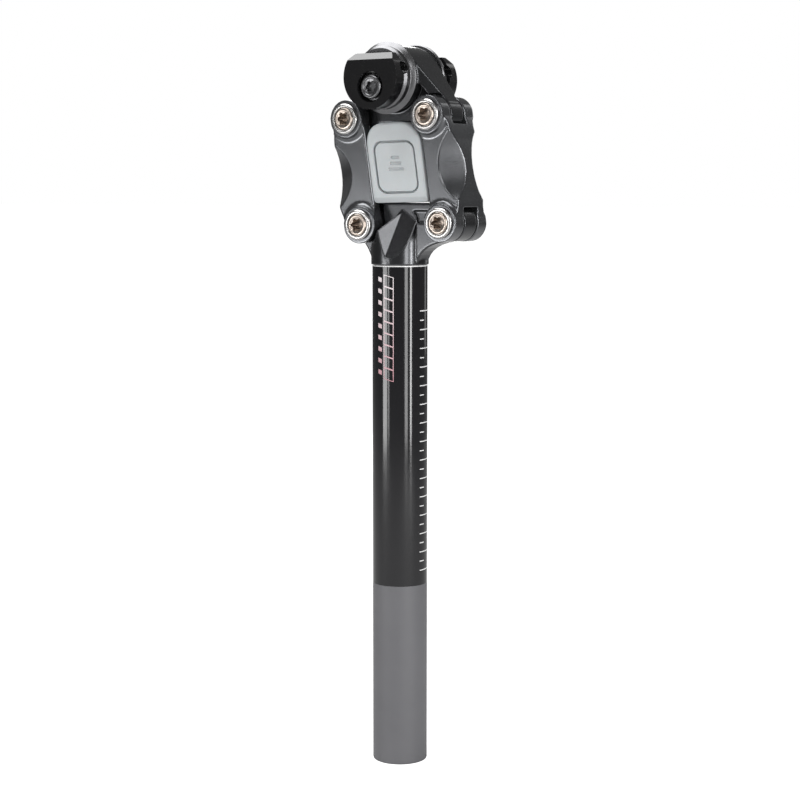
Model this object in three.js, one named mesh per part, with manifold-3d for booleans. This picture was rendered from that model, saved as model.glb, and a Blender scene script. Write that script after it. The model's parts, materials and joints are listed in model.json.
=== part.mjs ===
// A short-travel suspension seatpost. A round post carries a forged head; two links stand on the
// head and hold an upper head between them, so that the saddle clamp swings back and down on a
// parallelogram while an elastomer block is squeezed between the links.
// Millimetres. +Z is up along the post, +X is towards the rear of the bicycle, -Y is its left side.
// The origin is the centre of the post's lower end.
import * as THREE from "three";
import { mergeVertices } from "three/addons/utils/BufferGeometryUtils.js";
import Module from "manifold-3d";

const wasm = await Module();
wasm.setup();

// ---- Driving dimensions ----
const GAP = 0.3; // left between pieces that touch on the real post
const POST_R = 15.45;
const POST_BORE_R = 12.8;
const POST_TOP = 283;
const SPIGOT_LENGTH = 32;
const COLLAR_R = 16.1;

const FRONT_FOOT = new THREE.Vector2(-16.9, 305.5); // lower pivots, in X and Z
const REAR_FOOT = new THREE.Vector2(36.5, 306.9);
const LINK = new THREE.Vector2(-8.9, 58.4); // lower pivot to upper pivot
const FRONT_TOP = FRONT_FOOT.clone().add(LINK);
const REAR_TOP = REAR_FOOT.clone().add(LINK);

const LUG_HALF = 5.9; // half thickness of the central lugs
const LUG_R = 10.2;
const WEB_TOP = 316.6; // the lower head's flat top, under the elastomer
const WEB_FRONT = -7.5;
const ARM_IN = 7.2; // a link's arms, measured from the middle plane
const ARM_OUT = 13.2;
const BOSS_OUT = 16;
const BOSS_R = 10.4;
const AXLE_R = 6.2;
const AXLE_BORE_R = 4.6;
const AXLE_HALF = 15.2;
const BUSH_IN_R = AXLE_R + GAP;
const BUSH_OUT_R = 7.6;
const LUG_BORE_R = BUSH_OUT_R + GAP;
const FLANGE_R = 9.4;
const CAP_R = 9;
const CAP_OUT = 18;
const SCREW_HEAD_R = 6;
const SCREW_R = 4.3;

const CLAMP = new THREE.Vector2(0.8, 385.6); // axis of the upper head's barrel
const BARREL_R = 18.2;
const BARREL_BORE_R = 12.6;
const BARREL_HALF = 13;
const INNER_JAW_R = 19.6;
const JAW_STEP_R = 17.2;
const INNER_JAW_OUT = 21;
const OUTER_JAW_IN = 23;
const OUTER_JAW_OUT = 30.5;
const OUTER_JAW_R = 17.4;
const OUTER_JAW_TOP = 12.8; // height of its flat above the barrel's axis
const RAIL_Y = 22;
const RAIL_R = 3.65;
const RAIL_RISE = 4.8; // rail centre above the barrel's axis
const BOLT_DROP = 5.4; // clamp bolt below the barrel's axis
const BOLT_R = 4;
const BOLT_HEAD_R = 6.5;
const COUNTERBORE_R = 8.3;

const FLARE_HALF = 9;

const FINE = 36;
const ROUND = 24;
const FAR = 60; // reach of a cutting tool past the piece it cuts

// ---- Solids ----
function solid(geometry) {
  const bare = new THREE.BufferGeometry();
  const source = geometry.index ? geometry.toNonIndexed() : geometry;
  bare.setAttribute("position", source.getAttribute("position"));
  const merged = mergeVertices(bare, 1e-4);
  return new wasm.Manifold(
    new wasm.Mesh({
      numProp: 3,
      vertProperties: merged.attributes.position.array,
      triVerts: new Uint32Array(merged.index.array),
    }),
  );
}

function geometryOf(body) {
  const mesh = body.getMesh();
  const geometry = new THREE.BufferGeometry();
  geometry.setAttribute("position", new THREE.BufferAttribute(mesh.vertProperties.slice(), 3));
  geometry.setIndex(new THREE.BufferAttribute(new Uint32Array(mesh.triVerts), 1));
  geometry.computeVertexNormals();
  return geometry;
}

const joined = (bodies) => bodies.reduce((sum, body) => sum.add(body));

// Turned about the line along Y through (x, z): the profile is [radius, y] pairs, closed.
function turned(profile, centre = new THREE.Vector2(0, 0), segments = ROUND) {
  const points = profile.map(([r, y]) => new THREE.Vector2(r, y));
  points.push(points[0].clone());
  const geometry = new THREE.LatheGeometry(points, segments);
  geometry.translate(centre.x, 0, centre.y);
  const body = solid(geometry);
  if (body.volume() >= 0) return body;
  return solid(new THREE.LatheGeometry(points.reverse(), segments).translate(centre.x, 0, centre.y));
}

const ring = (rIn, rOut, y0, y1, centre, segments) =>
  turned([[rIn, y0], [rOut, y0], [rOut, y1], [rIn, y1]], centre, segments);

// A full disc or pin from y0 to y1.
function pin(radius, y0, y1, centre, segments = ROUND) {
  const geometry = new THREE.CylinderGeometry(radius, radius, y1 - y0, segments);
  geometry.translate(centre.x, (y0 + y1) / 2, centre.y);
  return solid(geometry);
}

// An outline in X and Z, given depth along Y.
function plate(points, y0, y1) {
  const shape = new THREE.Shape(points.map(([x, z]) => new THREE.Vector2(x, z)));
  return plateOf(shape, y0, y1);
}

function plateOf(shape, y0, y1, curveSegments = 8) {
  const options = { depth: y1 - y0, bevelEnabled: false, curveSegments };
  const geometry = new THREE.ExtrudeGeometry(shape, options);
  geometry.rotateX(Math.PI / 2);
  geometry.translate(0, y1, 0);
  return solid(geometry);
}

function block(x0, x1, y0, y1, z0, z1) {
  const geometry = new THREE.BoxGeometry(x1 - x0, y1 - y0, z1 - z0);
  geometry.translate((x0 + x1) / 2, (y0 + y1) / 2, (z0 + z1) / 2);
  return solid(geometry);
}

// A large block whose one face passes through a point; everything on the normal's side is inside it.
function halfSpace(point, normal) {
  const geometry = new THREE.BoxGeometry(2 * FAR, 2 * FAR, FAR);
  geometry.translate(0, 0, FAR / 2);
  const turn = new THREE.Quaternion().setFromUnitVectors(
    new THREE.Vector3(0, 0, 1),
    normal.clone().normalize(),
  );
  geometry.applyQuaternion(turn);
  geometry.translate(point.x, point.y, point.z);
  return solid(geometry);
}

const bothSides = (cutAt) => cutAt(-1).add(cutAt(1));

// ---- Materials ----
const finish = (color, roughness, metalness) =>
  new THREE.MeshStandardMaterial({ color, roughness, metalness });
const gloss = finish(0x0b0b0d, 0.22, 0.7);
const satin = finish(0x1a1a1d, 0.4, 0.6);
const silver = finish(0xd8d4cf, 0.25, 1);
const steel = finish(0x9a9a9c, 0.35, 1);
const polymer = finish(0x2c3a33, 0.6, 0);
const rubber = finish(0xb4b9ba, 0.7, 0);

const post = new THREE.Group();

function add(name, body, material) {
  const mesh = new THREE.Mesh(geometryOf(body), material);
  mesh.name = name;
  post.add(mesh);
  return mesh;
}

// ---- Post ----
function postTube() {
  const bevel = 0.8;
  const profile = [
    [POST_BORE_R, 0],
    [POST_R - bevel, 0],
    [POST_R, bevel],
    [POST_R, POST_TOP],
    [POST_BORE_R, POST_TOP],
  ];
  const points = [...profile, profile[0]].map(([r, z]) => new THREE.Vector2(r, z));
  return solid(new THREE.LatheGeometry(points, FINE).rotateX(Math.PI / 2));
}

// A cylinder standing along Z.
function column(radius, z0, z1) {
  const geometry = new THREE.CylinderGeometry(radius, radius, z1 - z0, FINE);
  geometry.rotateX(Math.PI / 2);
  geometry.translate(0, 0, (z0 + z1) / 2);
  return solid(geometry);
}

// ---- Lower head: spigot, collar, a gabled shoulder on each side, and a web with a lug for each
// lower pivot. The web is narrow enough to pass between a link's arms when the post is compressed ----
function lowerHead() {
  const base = POST_TOP + GAP;
  const bore = 9;
  const spigot = column(POST_BORE_R - GAP, base - SPIGOT_LENGTH, base + 1).subtract(
    column(bore, base - SPIGOT_LENGTH - 1, base - 4),
  );
  const web = plate(
    [
      [-COLLAR_R + 0.5, base],
      [COLLAR_R - 0.5, base],
      [23, 292.5],
      [REAR_FOOT.x + 3, REAR_FOOT.y - LUG_R + 0.5],
      [REAR_FOOT.x + 1, WEB_TOP],
      [WEB_FRONT, WEB_TOP],
      [WEB_FRONT - 0.4, FRONT_FOOT.y],
      [FRONT_FOOT.x - LUG_R + 1, FRONT_FOOT.y - 4],
      [-19, 292],
    ],
    -LUG_HALF,
    LUG_HALF,
  );
  const lugs = pin(LUG_R, -LUG_HALF, LUG_HALF, FRONT_FOOT).add(
    pin(LUG_R, -LUG_HALF, LUG_HALF, REAR_FOOT),
  );
  const apex = [5.9, 313.5];
  const gable = plate(
    [[-20, base], [20, base], [20, 304], apex, [-20, 287.3]],
    -COLLAR_R - 1,
    COLLAR_R + 1,
  );
  const facet = (side) =>
    halfSpace(new THREE.Vector3(-4, side * 15.2, 303), new THREE.Vector3(-0.62, side * 0.6, 0.5));
  const collar = column(COLLAR_R, base, apex[1]);
  const shoulders = collar.intersect(gable).subtract(bothSides(facet));
  // The foot of the web widens towards the post on both lugs' sides.
  const flare = plate(
    [
      [-COLLAR_R + 1, base + 1],
      [COLLAR_R - 1, base + 1],
      [25, 296],
      [25, 303],
      [-8, 303],
    ],
    -FLARE_HALF,
    FLARE_HALF,
  );
  const notch = (side) =>
    block(14, 22, Math.min(side * 4, side * 9), Math.max(side * 4, side * 9), 307, 313.6);
  let head = joined([spigot, web, lugs, shoulders, flare]).subtract(bothSides(notch));
  for (const foot of [FRONT_FOOT, REAR_FOOT]) {
    head = head.subtract(pin(LUG_BORE_R, -FAR / 3, FAR / 3, foot));
    // Room on each side of a lug for the link's arms and bush flanges.
    const room = (side) =>
      side > 0 ? pin(BOSS_R + 1.2, LUG_HALF, FAR, foot) : pin(BOSS_R + 1.2, -FAR, -LUG_HALF, foot);
    head = head.subtract(bothSides(room));
  }
  return head;
}

// ---- Links. Drawn along a link, s up from the lower pivot and n out from the pivots' line,
// then set on the lower pivot. `out` is -1 for the front link, which faces forward, or +1. ----
const LINK_LENGTH = LINK.length();
const KEEL_END = 13.5; // the keel stops this far from each pivot
const KEEL_IN = -0.5; // its inner face, so that the lower head's web can enter between the arms

function armOutline(inner, waist) {
  const shape = new THREE.Shape();
  const r = BOSS_R;
  shape.absarc(0, 0, r, Math.PI, 0, false);
  shape.quadraticCurveTo(r - 0.3, 9, waist, LINK_LENGTH * 0.42);
  shape.quadraticCurveTo(waist - 1.2, LINK_LENGTH * 0.68, r, LINK_LENGTH);
  shape.absarc(0, LINK_LENGTH, r, 0, Math.PI, false);
  shape.lineTo(-inner, LINK_LENGTH - 12);
  shape.lineTo(-inner, 12);
  return shape;
}

function keelOutline(spine) {
  const top = LINK_LENGTH - KEEL_END;
  const shape = new THREE.Shape();
  shape.moveTo(KEEL_IN, KEEL_END);
  shape.lineTo(BOSS_R, KEEL_END);
  shape.quadraticCurveTo(spine * 2 - BOSS_R - 1, LINK_LENGTH / 2, BOSS_R, top);
  shape.lineTo(KEEL_IN, top);
  return shape;
}

// Each outer corner of a keel is scooped away by a large cylinder lying across it.
function scoop(side) {
  const radius = 46;
  const depth = 6;
  const tilt = THREE.MathUtils.degToRad(36);
  const geometry = new THREE.CylinderGeometry(radius, radius, FAR, FINE);
  geometry.rotateZ(Math.PI / 2 + side * (Math.PI / 2 - tilt));
  const reach = radius - depth;
  geometry.translate(
    BOSS_R + Math.sin(tilt) * reach * 0.9,
    side * (ARM_OUT + Math.cos(tilt) * reach),
    LINK_LENGTH / 2,
  );
  return solid(geometry);
}

function link({ inner, waist, spine }) {
  const arm = armOutline(inner, waist);
  const arms = plateOf(arm, ARM_IN, ARM_OUT, 8).add(plateOf(arm, -ARM_OUT, -ARM_IN, 8));
  const keel = plateOf(keelOutline(spine), -ARM_OUT, ARM_OUT, 6).subtract(bothSides(scoop));
  const ends = [new THREE.Vector2(0, 0), new THREE.Vector2(0, LINK_LENGTH)];
  const bosses = ends.flatMap((end) => [
    pin(BOSS_R, ARM_IN, BOSS_OUT, end),
    pin(BOSS_R, -BOSS_OUT, -ARM_IN, end),
  ]);
  let body = joined([keel, arms, ...bosses]);
  for (const end of ends) {
    body = body.subtract(pin(BOSS_R + 1.6, -ARM_IN, ARM_IN, end, FINE));
    body = body.subtract(pin(AXLE_R + GAP, -FAR / 2, FAR / 2, end));
  }
  return body;
}

// Stands a link on its lower pivot, facing forward (out = -1) or to the rear (out = 1).
function standOn(foot, out, mesh) {
  mesh.rotation.set(0, Math.atan2(LINK.x, LINK.y), out < 0 ? Math.PI : 0);
  mesh.position.set(foot.x, 0, foot.y);
}

// ---- Pivot hardware: a hollow axle through both arms, a cap and a screw at each end, and two
// flanged bushes in the lug between the arms ----
function axle(at) {
  return ring(AXLE_BORE_R, AXLE_R, -AXLE_HALF, AXLE_HALF, at);
}

function cap(at, side) {
  const inner = BOSS_OUT + 0.15;
  const seat = inner + 0.75;
  const rim = 0.5;
  const profile = [
    [SCREW_R + GAP, inner],
    [CAP_R, inner],
    [CAP_R, CAP_OUT - rim],
    [CAP_R - rim, CAP_OUT],
    [SCREW_HEAD_R + GAP, CAP_OUT],
    [SCREW_HEAD_R + GAP, seat],
    [SCREW_R + GAP, seat],
  ];
  return turned(profile.map(([r, y]) => [r, side * y]), at);
}

// A six-lobed socket as an outline of that outer radius.
function sixLobe(at, radius) {
  const points = [];
  const steps = 12;
  for (let i = 0; i < steps; i += 1) {
    const angle = (i / steps) * 2 * Math.PI;
    const r = i % 2 ? radius * 0.72 : radius;
    points.push([at.x + r * Math.cos(angle), at.y + r * Math.sin(angle)]);
  }
  return points;
}

function pivotScrew(at, side) {
  const under = BOSS_OUT + 1.1;
  const top = CAP_OUT + 0.5;
  const tip = 8;
  const headAndShank = [
    [0, tip],
    [SCREW_R, tip],
    [SCREW_R, under],
    [SCREW_HEAD_R, under],
    [SCREW_HEAD_R, top - 0.4],
    [SCREW_HEAD_R - 0.4, top],
    [0, top],
  ];
  const body = turned(headAndShank.map(([r, y]) => [r, side * y]), at);
  const socket = side > 0 ? [top - 3, top + 1] : [-top - 1, -top + 3];
  return body.subtract(plate(sixLobe(at, 3.7), ...socket));
}

function bush(at, side) {
  const flange = LUG_HALF + 0.15;
  const profile = [
    [BUSH_IN_R, 0.2],
    [BUSH_OUT_R, 0.2],
    [BUSH_OUT_R, flange],
    [FLANGE_R, flange],
    [FLANGE_R, flange + 0.85],
    [BUSH_IN_R, flange + 0.85],
  ];
  return turned(profile.map(([r, y]) => [r, side * y]), at);
}

// ---- Upper head: a barrel for the saddle clamp on two lugs ----
function upperHead() {
  const under = 364.6;
  const arch = plate(
    [
      [FRONT_TOP.x - 5, FRONT_TOP.y + LUG_R - 2],
      [FRONT_TOP.x + 2, FRONT_TOP.y - LUG_R + 0.3],
      [FRONT_TOP.x + 11.5, under],
      [REAR_TOP.x - 13, under + 0.6],
      [REAR_TOP.x - 2, REAR_TOP.y - LUG_R + 0.3],
      [REAR_TOP.x + LUG_R - 1, REAR_TOP.y + 4],
      [CLAMP.x + 13, CLAMP.y + 12],
      [CLAMP.x - 13, CLAMP.y + 8],
    ],
    -LUG_HALF,
    LUG_HALF,
  );
  const lugs = pin(LUG_R, -LUG_HALF, LUG_HALF, FRONT_TOP).add(
    pin(LUG_R, -LUG_HALF, LUG_HALF, REAR_TOP),
  );
  // The strap runs from the barrel's crown down to the rear lug and narrows as it goes.
  const strap = plate(
    [
      [CLAMP.x + 2, CLAMP.y + BARREL_R - 0.6],
      [CLAMP.x + 12, CLAMP.y + 13.6],
      [CLAMP.x + 21, CLAMP.y + 1.5],
      [REAR_TOP.x + 6.5, REAR_TOP.y + LUG_R - 2.6],
      [REAR_TOP.x + 1, REAR_TOP.y + LUG_R - 2.4],
      [CLAMP.x + 15, CLAMP.y - 4],
    ],
    -BARREL_HALF,
    BARREL_HALF,
  );
  const taper = (side) =>
    halfSpace(
      new THREE.Vector3(CLAMP.x + 8, side * BARREL_HALF, 0),
      new THREE.Vector3(0.32, side, 0),
    );
  const barrel = pin(BARREL_R, -BARREL_HALF, BARREL_HALF, CLAMP, FINE);
  let head = joined([arch, lugs, strap.subtract(bothSides(taper)), barrel]);
  head = head.subtract(pin(BARREL_BORE_R, -FAR, FAR, CLAMP, FINE));
  for (const top of [FRONT_TOP, REAR_TOP]) {
    head = head.subtract(pin(LUG_BORE_R, -FAR / 3, FAR / 3, top));
    const room = (side) =>
      side > 0 ? pin(BOSS_R + 1.1, LUG_HALF, FAR, top) : pin(BOSS_R + 1.1, -FAR, -LUG_HALF, top);
    head = head.subtract(bothSides(room));
  }
  return head;
}

// ---- Elastomer: a tombstone block between the links' arms. Its flat end lies along the lower
// pivots' line and its sides along the links. A narrower key on its front and back reaches in
// between the arms to each keel, and each side has a shallow panel ----
const ELASTOMER_HALF = 17.5;
const ELASTOMER_SIDE = 12.6;
const ELASTOMER_OFFSET = 1.3; // its middle, behind the middle of the parallelogram
const ELASTOMER_FOOT = 11.5; // its flat end above the lower pivots
const ELASTOMER_HEIGHT = 42.5;
const KEY_HALF = 6.6;
const KEY_REACH = 25.4; // from the middle of the parallelogram, just short of the keels
const KEY_LOW = 27;
const KEY_HIGH = 43;
const PANEL_DEPTH = 0.8;

function tombstone(w, h, corner) {
  const shape = new THREE.Shape();
  shape.moveTo(-w + corner, 0);
  shape.lineTo(w - corner, 0);
  shape.quadraticCurveTo(w, 0, w, corner);
  shape.lineTo(w, h - w * 0.8);
  shape.bezierCurveTo(w, h - 4, w * 0.55, h, 0, h);
  shape.bezierCurveTo(-w * 0.55, h, -w, h - 4, -w, h - w * 0.8);
  shape.lineTo(-w, corner);
  shape.quadraticCurveTo(-w, 0, -w + corner, 0);
  return shape;
}

function panelOutline(half, low, high, corner) {
  const shape = new THREE.Shape();
  shape.moveTo(-half + corner, low);
  shape.absarc(half - corner, low + corner, corner, -Math.PI / 2, 0, false);
  shape.absarc(half - corner, high - corner, corner, 0, Math.PI / 2, false);
  shape.absarc(-half + corner, high - corner, corner, Math.PI / 2, Math.PI, false);
  shape.absarc(-half + corner, low + corner, corner, Math.PI, 1.5 * Math.PI, false);
  return shape;
}

// Takes a piece drawn square, with its foot along X and its height along Z, to the slant that the
// pivots' line and the links make.
function slant(geometry) {
  const base = REAR_FOOT.clone().sub(FRONT_FOOT).normalize();
  const up = LINK.clone().normalize();
  const middle = FRONT_FOOT.clone().add(REAR_FOOT).multiplyScalar(0.5);
  const matrix = new THREE.Matrix4();
  matrix.set(
    base.x, 0, up.x, middle.x,
    0, 1, 0, 0,
    base.y, 0, up.y, middle.y,
    0, 0, 0, 1,
  );
  return geometry.applyMatrix4(matrix);
}

function elastomer() {
  const panel = panelOutline(11.5, 5, 31, 4.5);
  const floor = ELASTOMER_SIDE - PANEL_DEPTH;
  const sunk = plateOf(panel, floor, FAR, 4).add(plateOf(panel, -FAR, -floor, 4));
  const outline = tombstone(ELASTOMER_HALF, ELASTOMER_HEIGHT, 2);
  const tomb = plateOf(outline, -ELASTOMER_SIDE, ELASTOMER_SIDE, 6).subtract(sunk);
  const raised = geometryOf(tomb).translate(ELASTOMER_OFFSET, 0, ELASTOMER_FOOT);
  const key = block(-KEY_REACH, KEY_REACH, -KEY_HALF, KEY_HALF, KEY_LOW, KEY_HIGH);
  return solid(slant(geometryOf(solid(raised).add(key))));
}

// ---- Saddle clamp ----
const BOLT_AXIS = new THREE.Vector2(CLAMP.x, CLAMP.y - BOLT_DROP);
const RAIL_AXIS_Z = CLAMP.y + RAIL_RISE;

// The saddle rail's own path, along X.
function rail(side) {
  const geometry = new THREE.CylinderGeometry(RAIL_R, RAIL_R, 2 * FAR, ROUND);
  geometry.rotateZ(Math.PI / 2);
  geometry.translate(0, side * RAIL_Y, RAIL_AXIS_Z);
  return solid(geometry);
}

function innerJaw(side) {
  const spigot = BARREL_HALF - 8;
  const flange = BARREL_HALF + GAP;
  const profile = [
    [0, spigot],
    [BARREL_BORE_R - GAP, spigot],
    [BARREL_BORE_R - GAP, flange],
    [INNER_JAW_R, flange],
    [INNER_JAW_R, flange + 2.6],
    [JAW_STEP_R, flange + 2.9],
    [JAW_STEP_R, INNER_JAW_OUT],
    [0, INNER_JAW_OUT],
  ];
  return turned(profile.map(([r, y]) => [r, side * y]), CLAMP, FINE)
    .subtract(pin(BOLT_R + 0.35, -FAR, FAR, BOLT_AXIS))
    .subtract(rail(side));
}

function outerJaw(side) {
  const low = side > 0 ? OUTER_JAW_IN : -OUTER_JAW_OUT;
  const high = side > 0 ? OUTER_JAW_OUT : -OUTER_JAW_IN;
  const crown = CLAMP.y + OUTER_JAW_TOP;
  const bevel = (at) =>
    halfSpace(new THREE.Vector3(0, at * OUTER_JAW_OUT, crown - 3), new THREE.Vector3(0, at, 0.9));
  const floor = OUTER_JAW_OUT - 4.6;
  const counterbore =
    side > 0
      ? pin(COUNTERBORE_R, floor, FAR, BOLT_AXIS)
      : pin(COUNTERBORE_R, -FAR, -floor, BOLT_AXIS);
  return pin(OUTER_JAW_R, low, high, CLAMP, FINE)
    .subtract(block(-FAR, FAR, -FAR, FAR, crown, crown + FAR))
    .subtract(bevel(side))
    .subtract(rail(side))
    .subtract(pin(BOLT_R + 0.35, -FAR, FAR, BOLT_AXIS))
    .subtract(counterbore);
}

const SEAT_Y = OUTER_JAW_OUT - 4.6; // floor of an outer jaw's counterbore

function seatWasher(side) {
  const low = SEAT_Y + 0.15;
  const profile = [
    [BOLT_R + 0.35, low],
    [COUNTERBORE_R - 0.5, low],
    [COUNTERBORE_R - 1.1, low + 1.2],
    [BOLT_R + 0.35, low + 1.2],
  ];
  return turned(profile.map(([r, y]) => [r, side * y]), BOLT_AXIS);
}

function clampBolt() {
  const under = -SEAT_Y - 1.6;
  const top = -OUTER_JAW_OUT + 0.2;
  const tip = OUTER_JAW_OUT - 0.6;
  const body = pin(BOLT_R, under, tip, BOLT_AXIS).add(pin(BOLT_HEAD_R, top, under + 0.01, BOLT_AXIS));
  const socket = sixLobe(BOLT_AXIS, 3.3);
  return body.subtract(plate(socket, top - 1, top + 2.4));
}

function clampNut() {
  const low = SEAT_Y + 1.6;
  const high = OUTER_JAW_OUT - 0.2;
  const flats = [];
  for (let i = 0; i < 6; i += 1) {
    const angle = (i / 6) * 2 * Math.PI;
    flats.push([BOLT_AXIS.x + 7.5 * Math.cos(angle), BOLT_AXIS.y + 7.5 * Math.sin(angle)]);
  }
  return plate(flats, low, high).subtract(pin(BOLT_R + 0.35, 0, FAR, BOLT_AXIS));
}

// ---- Assembly ----
add("post_tube", postTube(), gloss);
add("lower_head", lowerHead(), gloss);
standOn(FRONT_FOOT, -1, add("front_link", link({ inner: 9.6, waist: 3.2, spine: 13.2 }), gloss));
standOn(REAR_FOOT, 1, add("rear_link", link({ inner: 7.0, waist: 4.8, spine: 13.2 }), gloss));
add("upper_head", upperHead(), gloss);
add("elastomer", elastomer(), rubber);

const pivots = {
  front_lower: FRONT_FOOT,
  front_upper: FRONT_TOP,
  rear_lower: REAR_FOOT,
  rear_upper: REAR_TOP,
};
for (const [name, at] of Object.entries(pivots)) {
  add(`axle_${name}`, axle(at), steel);
  for (const [hand, side] of [["left", -1], ["right", 1]]) {
    add(`bush_${name}_${hand}`, bush(at, side), polymer);
    add(`cap_${name}_${hand}`, cap(at, side), silver);
    add(`screw_${name}_${hand}`, pivotScrew(at, side), silver);
  }
}

for (const [hand, side] of [["left", -1], ["right", 1]]) {
  add(`inner_jaw_${hand}`, innerJaw(side), satin);
  add(`outer_jaw_${hand}`, outerJaw(side), gloss);
  add(`clamp_washer_${hand}`, seatWasher(side), steel);
}
add("clamp_bolt", clampBolt(), steel);
add("clamp_nut", clampNut(), steel);

export default post;
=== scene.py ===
import json
import math

import bmesh
import bpy
from mathutils import Matrix, Vector


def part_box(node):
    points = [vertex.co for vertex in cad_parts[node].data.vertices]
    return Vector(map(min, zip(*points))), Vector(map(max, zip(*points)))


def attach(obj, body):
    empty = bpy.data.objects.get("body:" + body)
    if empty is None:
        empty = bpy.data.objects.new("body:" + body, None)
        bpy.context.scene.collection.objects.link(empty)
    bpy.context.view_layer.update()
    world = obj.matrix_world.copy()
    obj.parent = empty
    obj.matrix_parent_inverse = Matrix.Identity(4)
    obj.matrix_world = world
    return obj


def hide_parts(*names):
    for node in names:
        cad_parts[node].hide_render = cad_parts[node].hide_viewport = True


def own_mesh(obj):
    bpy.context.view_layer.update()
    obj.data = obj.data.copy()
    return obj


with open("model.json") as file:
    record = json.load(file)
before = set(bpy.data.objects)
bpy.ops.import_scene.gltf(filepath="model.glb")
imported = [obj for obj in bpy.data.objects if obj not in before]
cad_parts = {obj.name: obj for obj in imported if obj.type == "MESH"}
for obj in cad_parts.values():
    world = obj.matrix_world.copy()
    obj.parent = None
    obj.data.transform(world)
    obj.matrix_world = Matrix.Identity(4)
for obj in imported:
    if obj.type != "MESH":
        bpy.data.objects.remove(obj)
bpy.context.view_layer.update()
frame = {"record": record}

# ---- Studio ----
# The post stands on its lower end on a plain pale floor. Soft strip lights on both sides draw the
# long reflections on the gloss black parts, and one wide light overhead fills the forms.
MM = 0.001
CAMERA_AZIMUTH = 34
CAMERA_REACH = 1.047
CAMERA_HEIGHT = 0.3247
AIM_HEIGHT = 0.2070
LENS_MM, SENSOR_MM = 84.05, 36
LIGHT_AIM = (0, 0, 0.28)
ROOM_LIGHT = 0.16
FLOOR_HALF = 30

scene = bpy.context.scene
scene.view_settings.view_transform = "Standard"


def looking(obj, at):
    """Turns a camera or light at its place so that it looks at a point."""
    obj.rotation_euler = (Vector(at) - obj.location).to_track_quat("-Z", "Y").to_euler()


def around(azimuth_deg, reach, height):
    """A place seen from the post at an azimuth, measured from the left side towards the rear."""
    a = math.radians(azimuth_deg)
    return Vector((math.sin(a) * reach, -math.cos(a) * reach, height))


def set_camera():
    data = bpy.data.cameras.new("camera")
    data.lens = LENS_MM
    data.sensor_width = SENSOR_MM
    camera = bpy.data.objects.new("camera", data)
    scene.collection.objects.link(camera)
    camera.location = around(CAMERA_AZIMUTH, CAMERA_REACH, CAMERA_HEIGHT)
    looking(camera, (0.0, 0.0, AIM_HEIGHT))
    scene.camera = camera


# For each light: its azimuth in degrees, its reach and height, its width and length in metres, and
# its power in watts.
SOFT_LIGHTS = {
    "strip_right_near": (60, 1.15, 0.44, (0.26, 0.84), 4.6),
    "strip_right_far": (80, 1.15, 0.44, (0.14, 0.84), 6.0),
    "strip_left": (-14, 1.2, 0.44, (0.07, 0.84), 1.6),
    "front_high": (27, 1.05, 0.83, (0.34, 0.30), 2.2),
    "low_left": (-31, 1.25, 0.13, (0.44, 0.24), 2.9),
    "back_right": (165, 1.3, 0.6, (0.20, 1.0), 0.9),
    "back_left": (215, 1.3, 0.6, (0.25, 1.0), 3.4),
    "overhead": (-70, 0.40, 1.40, (1.1, 1.0), 20.0),
}


def soft_light(name, azimuth, reach, height, size, power):
    data = bpy.data.lights.new(name, "AREA")
    data.shape = "RECTANGLE"
    data.size, data.size_y = size
    data.energy = power
    light = bpy.data.objects.new(name, data)
    scene.collection.objects.link(light)
    light.location = around(azimuth, reach, height)
    looking(light, LIGHT_AIM)


def set_studio():
    """Soft lights in a dim room that only the camera sees as white."""
    world = bpy.data.worlds.new("studio")
    scene.world = world
    world.use_nodes = True
    nodes, links = world.node_tree.nodes, world.node_tree.links
    seen = nodes["Background"]
    seen.inputs["Color"].default_value = (1, 1, 1, 1)
    seen.inputs["Strength"].default_value = 1.0
    room = nodes.new("ShaderNodeBackground")
    room.inputs["Color"].default_value = (1, 1, 1, 1)
    room.inputs["Strength"].default_value = ROOM_LIGHT
    mix = nodes.new("ShaderNodeMixShader")
    links.new(nodes.new("ShaderNodeLightPath").outputs["Is Camera Ray"], mix.inputs["Fac"])
    links.new(room.outputs[0], mix.inputs[1])
    links.new(seen.outputs[0], mix.inputs[2])
    links.new(mix.outputs[0], nodes["World Output"].inputs["Surface"])
    for name, values in SOFT_LIGHTS.items():
        soft_light(name, *values)


def lay_floor():
    """A pale floor, whiter to the camera than to reflections."""
    bm = bmesh.new()
    bmesh.ops.create_grid(bm, x_segments=1, y_segments=1, size=FLOOR_HALF)
    mesh = bpy.data.meshes.new("floor")
    bm.to_mesh(mesh)
    bm.free()
    floor = bpy.data.objects.new("floor", mesh)
    scene.collection.objects.link(floor)
    material = bpy.data.materials.new("floor")
    material.use_nodes = True
    shader = material.node_tree.nodes["Principled BSDF"]
    shader.inputs["Base Color"].default_value = (0.6, 0.6, 0.6, 1)
    shader.inputs["Roughness"].default_value = 0.9
    shader.inputs["Emission Color"].default_value = (1, 1, 1, 1)
    seen = material.node_tree.nodes.new("ShaderNodeLightPath")
    material.node_tree.links.new(seen.outputs["Is Camera Ray"], shader.inputs["Emission Strength"])
    mesh.materials.append(material)


set_camera()
set_studio()
lay_floor()

# ---- Post tube ----
# A drawn aluminium tube, turned to size and anodised gloss black. Below the insertion line, where
# it has to stay inside the frame, it is satin. Its lower end is chamfered inside and out.
SATIN_TOP = 103.0
POST_BORE_R = 12.8
LIP_PROUD = 0.25
UPRIGHT = Matrix.Rotation(math.radians(90), 4, "X")
post_low, post_high = (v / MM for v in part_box("post_tube"))
POST_R = post_high.x


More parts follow.
